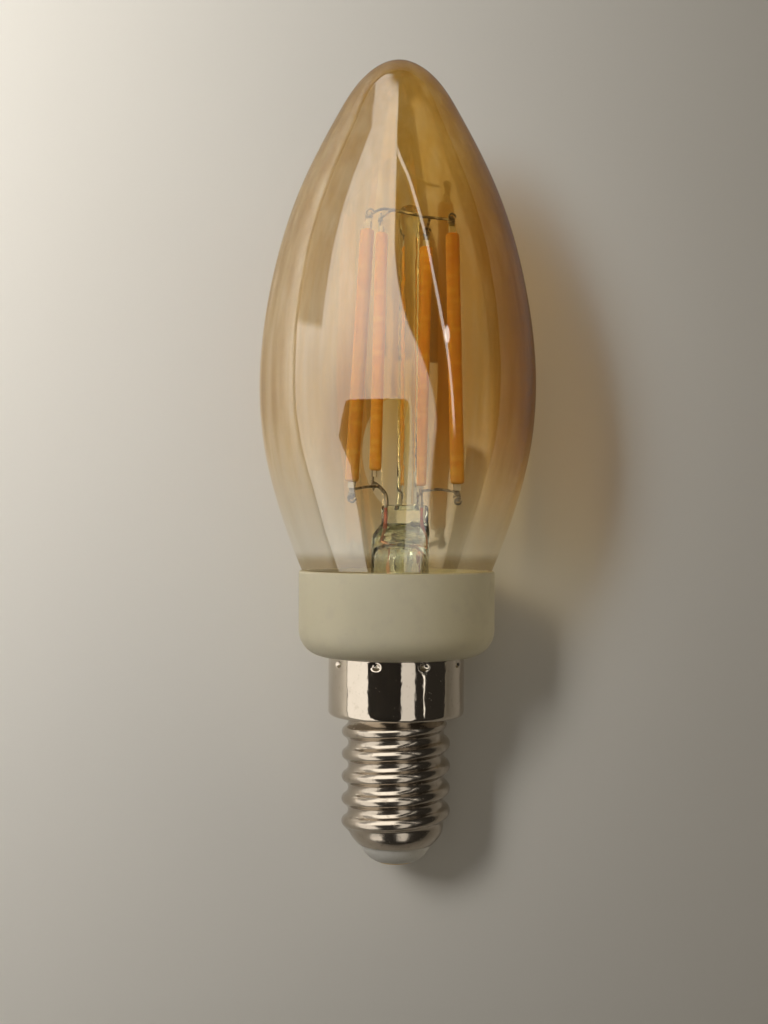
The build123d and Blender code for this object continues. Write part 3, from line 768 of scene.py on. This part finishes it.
lean = math.atan((belly_radius - collar_radius) / (belly_height - collar_edge_height))
table_shape = bmesh.new()
bmesh.ops.create_grid(table_shape, x_segments=1, y_segments=1, size=table_half)
bmesh.ops.rotate(table_shape, cent=(0, 0, 0), matrix=Matrix.Rotation(math.pi / 2 - lean, 3, "X"),
                 verts=table_shape.verts[:])
bmesh.ops.translate(table_shape, vec=(0, belly_radius + table_gap, belly_height),
                    verts=table_shape.verts[:])
top = Finish("pale_table_top", {"IOR": 1.4})
blotch = top.cloud(0.02, 3.0)
pores = top.cloud(3.0, 3.0)
top.feed(Base_Color=top.colours(blotch, (0.70, 0.675, 0.62), (0.66, 0.635, 0.58)),
         Roughness=0.6 + 0.1 * pores)
from_below = top.node("NewGeometry", output="Backfacing")
top_surface = Shade(top, top.shader.outputs[0])
one_sided = top.show(top.blend(from_below, top_surface, top.clear((1, 1, 1))))
table = as_object("table", table_shape, one_sided)
table.visible_shadow = False

# A black card in front of the lamp, which only the glass and the nickel mirror.
card_distance = 186
card_corners = [(-150, -400), (27, -400), (27, 43), (25, 48), (18, 51), (-156, 51), (-166, 49),
                (-172, 43), (-218, -8), (-165, -45)]
card_shape = bmesh.new()
card_points = [card_shape.verts.new((x, -card_distance, z)) for x, z in card_corners]
bmesh.ops.contextual_create(card_shape, geom=card_points)
felt = Finish("black_felt")
nap = felt.cloud(0.05, 4.0)
black_felt = felt.feed(Base_Color=felt.colours(nap, (0.035, 0.03, 0.026), (0.02, 0.018, 0.016)),
                       Roughness=0.8 + 0.1 * nap)
black_card = as_object("black_card", card_shape, black_felt)
black_card.visible_camera = black_card.visible_diffuse = black_card.visible_shadow = False

lamp_middle = Vector((0, 0, 0.05))


def soft_light(name, bearing, rise, away, size, power, colour, spread=180, aim=lamp_middle,
               mirrored=False):
    """A soft box so many metres away, at a bearing and a rise in degrees, turned to face its aim."""
    lamp = bpy.data.lights.new(name, "AREA")
    lamp.shape = "RECTANGLE"
    lamp.size, lamp.size_y = size
    lamp.energy = power
    lamp.color = colour
    lamp.spread = math.radians(spread)
    box = bpy.data.objects.new(name, lamp)
    turn, climb = math.radians(bearing), math.radians(rise)
    out = Vector((math.sin(turn) * math.cos(climb), -math.cos(turn) * math.cos(climb), math.sin(climb)))
    box.location = lamp_middle + out * away
    box.rotation_euler = (box.location - Vector(aim)).to_track_quat("Z", "Y").to_euler()
    box.visible_camera = False
    box.visible_glossy = mirrored
    bpy.context.scene.collection.objects.link(box)


soft_light("pool_light", -48, 28, 0.46, (0.26, 0.26), 0.66, (1.0, 0.975, 0.94), spread=56,
           aim=(-0.21, 0.017, 0.15))
soft_light("fill_light", 10, 8, 0.9, (0.8, 0.8), 1.0, (1.0, 0.90, 0.74))
soft_light("side_light", 78, 5, 0.6, (0.4, 0.5), 0.55, (1.0, 0.90, 0.72))
soft_light("rear_light", 200, 25, 0.6, (0.5, 0.5), 0.8, (1.0, 0.95, 0.88))
soft_light("glint_light", -128, 30, 0.5, (0.02, 0.03), 0.05, (1.0, 0.98, 0.95), mirrored=True)

# The room, which lights nothing directly and is only seen in the glass and the nickel.
world = bpy.data.worlds.new("room")
bpy.context.scene.world = world
room = Finish("room", owner=world)
world.cycles_visibility.diffuse = False
direction = room.node("TexCoord")
across, deep, rise = [room.node("SeparateXYZ", values={0: direction}, output=i) for i in range(3)]
in_degrees = 180 / math.pi
bearing = room.node("Math", {"operation": "ARCTAN2"}, {0: across, 1: 0 - deep}) * in_degrees
climb = room.node("Math", {"operation": "ARCSINE"}, {0: rise}) * in_degrees


def towards(pole):
    """1 in the direction of a pole, 0 square to it, and -1 away from it."""
    return room.node("VectorMath", {"operation": "DOT_PRODUCT"}, {0: direction, 1: pole}, output=1)


def glow(colour, strength):
    """Light of one colour from wherever its strength isn't 0."""
    return room.node("Background", values={"Color": (*colour, 1), "Strength": strength})


# A bright wall, which ends in a slanting edge at the right and has a dim recess high on the left.
right_edge = 33 - 37 * climb.between(-12, 40)
wall = (right_edge - bearing).between(-1, 1) * bearing.between(-128, -118) * climb.between(-62, -50)
wall = wall * climb.between(86, 74)
recess = bearing.between(-112, -106) * bearing.between(-67, -69) * climb.between(16, 18)
recess = recess * climb.between(64, 62)
low_level = 1.5 - 0.5 * bearing.between(-10, 10)
level = low_level + (2.2 - low_level) * climb.between(-3, 25)
wall = wall * (1 - 0.75 * recess) * level

# A thin bright streak that slants down to the right, and one small spot.
line = towards((-0.663, -0.667, -0.342))
streak = line.between(-0.021, -0.012) * line.between(0.021, 0.012) * bearing.between(-6, 0)
streak = streak * climb.between(-14, -4) * bearing.between(60, 50)
spot = towards((0.628, -0.723, 0.287)).between(0.9988, 0.9994)
streak_level = 2.4
spot_level = 4
dim_level = 0.035
bright = glow((1.0, 0.975, 0.93), wall + streak * streak_level + spot * spot_level)
lit = room.node("AddShader", values={0: bright, 1: glow((1.0, 0.9, 0.76), dim_level)})
seen = room.node("LightPath", output="Is Camera Ray")
room.show(room.blend(seen, lit, glow((0.42, 0.38, 0.32), 1.0)))

lens = bpy.data.cameras.new("camera")
lens.lens = 49.8
lens.sensor_width = 36
lens.clip_start = 0.001
lens.clip_end = 10
camera = bpy.data.objects.new("camera", lens)
camera.location = (-0.00165, -0.180, 0.0426)
camera.rotation_euler = (math.radians(90.607), math.radians(-0.30), 0)
bpy.context.scene.collection.objects.link(camera)
bpy.context.scene.camera = camera
bpy.context.scene.view_settings.view_transform = "Standard"
bpy.context.scene.cycles.transparent_max_bounces = 32
